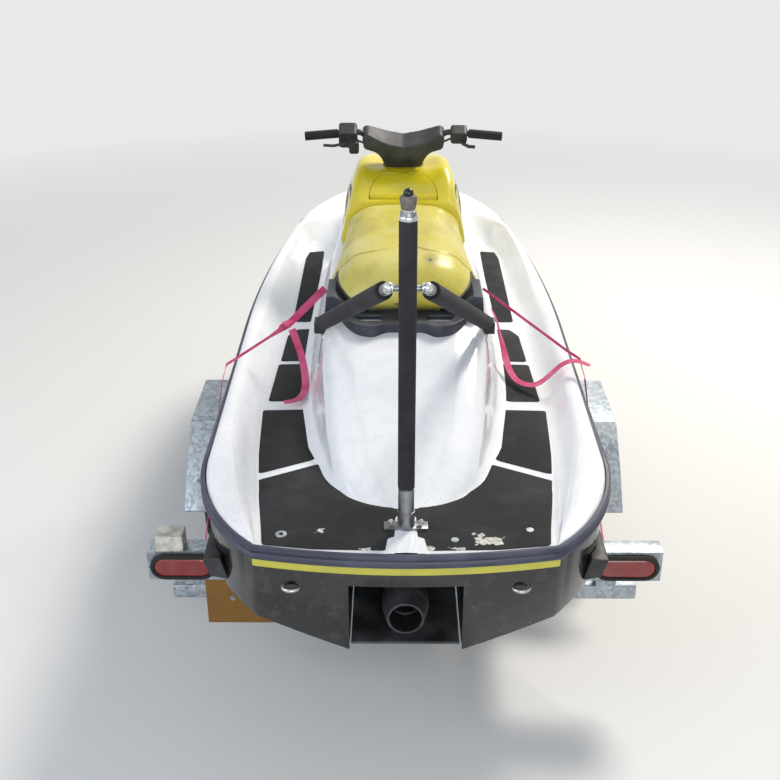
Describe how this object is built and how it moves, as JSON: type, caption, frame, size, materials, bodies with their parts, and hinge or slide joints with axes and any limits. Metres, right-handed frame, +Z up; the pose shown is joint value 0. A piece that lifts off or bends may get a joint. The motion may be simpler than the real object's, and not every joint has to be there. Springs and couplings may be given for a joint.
{
  "type": "personal watercraft on road trailer",
  "caption": "Sit-down personal watercraft with foam-covered tow pole, strapped on a light galvanised road trailer that stands on its wheels and jockey jack.",
  "frame": {"origin": "on the ground under the middle of the whole length, on the centreline", "axes": "+Y forward to the bow and the coupler, +X to starboard, +Z up"},
  "size_m": [1.53, 3.575, 1.684],
  "materials": {
    "gelcoat_white": "gloss gelcoat",
    "hull_paint": "gloss gelcoat",
    "rail_rubber": "satin vinyl",
    "stripe_yellow": "gloss",
    "mat_black": "matt foam rubber",
    "seat_vinyl": "faded vinyl",
    "grab_plastic": "moulded",
    "cowl_yellow": "gloss",
    "black_plastic": "moulded",
    "grip_rubber": "matt",
    "bar_steel": "satin black",
    "pump_alloy": "cast, painted",
    "steel_bright": "polished",
    "engine_iron": "painted",
    "pole_alloy": "anodised",
    "tow_foam": "closed-cell foam",
    "chrome_bolt": "chrome",
    "strap_pink": "polyester webbing",
    "galvanised": "hot-dip galvanised",
    "bunk_carpet": "needled carpet on timber",
    "tyre_rubber": "tyre",
    "wheel_steel": "silver paint",
    "lamp_red": "moulded lens",
    "lamp_white": "moulded",
    "plate_yellow": "painted",
    "roller_rubber": "rubber"
  },
  "bodies": {
    "craft": {"hull": "hull_paint", "deck": "gelcoat_white", "centre_moulding": "gelcoat_white", "rub_rail": "rail_rubber", "stern_stripe": "stripe_yellow", "traction_mats": "mat_black", "rear_grab_handle": "grab_plastic", "console": "cowl_yellow", "jet_pump": "pump_alloy", "intake_grate": "pump_alloy", "ride_plate": "pump_alloy", "sponsons": "black_plastic", "engine_block": "engine_iron", "towing_eyes": "steel_bright", "tow_pole": "pole_alloy", "tow_foam": "tow_foam", "tow_knob": "pole_alloy", "brace_arms": "pole_alloy", "brace_clamps": "black_plastic", "tie_straps": "strap_pink", "strap_tail_left": "strap_pink", "strap_loose_right": "strap_pink", "trailer_frame": "galvanised", "drawbar": "galvanised", "drawbar_plates": "galvanised", "bunks": "bunk_carpet", "bunk_brackets": "galvanised", "axle": "galvanised", "leaf_springs": "galvanised", "fenders": "galvanised", "coupler": "galvanised", "winch_post": "galvanised", "bow_roller": "roller_rubber", "winch": "galvanised", "winch_strap": "strap_pink", "jack": "galvanised", "lamp_brackets": "galvanised", "tail_lamps": "lamp_red", "marker_lamp": "lamp_white", "number_plate": "plate_yellow"},
    "seat": {"seat": "seat_vinyl"},
    "hood": {"hood": "cowl_yellow"},
    "glovebox_lid": {"glovebox_lid": "cowl_yellow"},
    "steering": {"handlebar": "bar_steel", "steering_stem": "steel_bright", "bar_pad": "black_plastic", "grips": "grip_rubber", "bar_controls": "black_plastic"},
    "nozzle": {"steering_nozzle": "pump_alloy"},
    "impeller": {"impeller": "steel_bright"},
    "wheel_left": {"tyre_left": "tyre_rubber", "rim_left": "wheel_steel"},
    "wheel_right": {"tyre_right": "tyre_rubber", "rim_right": "wheel_steel"},
    "jack_leg": {"jack_leg": "galvanised"},
    "jockey_fork": {"jockey_fork": "galvanised"},
    "jockey_wheel": {"jockey_wheel": "roller_rubber"}
  },
  "joints": [
    {"name": "seat_lift", "type": "slide", "parent": "craft", "child": "seat", "axis": [0, 0, 1], "range_m": [0, 0.25]},
    {"name": "hood_hinge", "type": "hinge", "parent": "craft", "child": "hood", "pos_m": [0, 0.9955, 0.966], "axis": [-1, 0, 0], "range_deg": [0, 60]},
    {"name": "glovebox_hinge", "type": "hinge", "parent": "craft", "child": "glovebox_lid", "pos_m": [0, -0.09564, 1.20275], "axis": [1, 0, 0], "range_deg": [0, 55]},
    {"name": "steering", "type": "hinge", "parent": "craft", "child": "steering", "pos_m": [0, 0.0925, 1.314], "axis": [0, -0.4695, 0.8829], "range_deg": [-25, 25]},
    {"name": "nozzle_steer", "type": "hinge", "parent": "craft", "child": "nozzle", "pos_m": [0, -1.6475, 0.525], "axis": [0, 0, 1], "range_deg": [-20, 20]},
    {"name": "impeller_spin", "type": "hinge", "parent": "craft", "child": "impeller", "pos_m": [0, -1.3075, 0.525], "axis": [0, 1, 0], "continuous": true},
    {"name": "wheel_left_spin", "type": "hinge", "parent": "craft", "child": "wheel_left", "pos_m": [-0.64, -0.5575, 0.265], "axis": [1, 0, 0], "continuous": true},
    {"name": "wheel_right_spin", "type": "hinge", "parent": "craft", "child": "wheel_right", "pos_m": [0.64, -0.5575, 0.265], "axis": [1, 0, 0], "continuous": true},
    {"name": "jack_wind", "type": "slide", "parent": "craft", "child": "jack_leg", "axis": [0, 0, 1], "range_m": [0, 0.12]},
    {"name": "jockey_swivel", "type": "hinge", "parent": "jack_leg", "child": "jockey_fork", "pos_m": [0, 1.3475, 0.2], "axis": [0, 0, 1], "continuous": true},
    {"name": "jockey_spin", "type": "hinge", "parent": "jockey_fork", "child": "jockey_wheel", "pos_m": [0, 1.3125, 0.08], "axis": [1, 0, 0], "continuous": true}
  ],
  "couplings": [
    {"joint": "nozzle_steer", "follows": "steering", "ratio": -0.8}
  ]
}
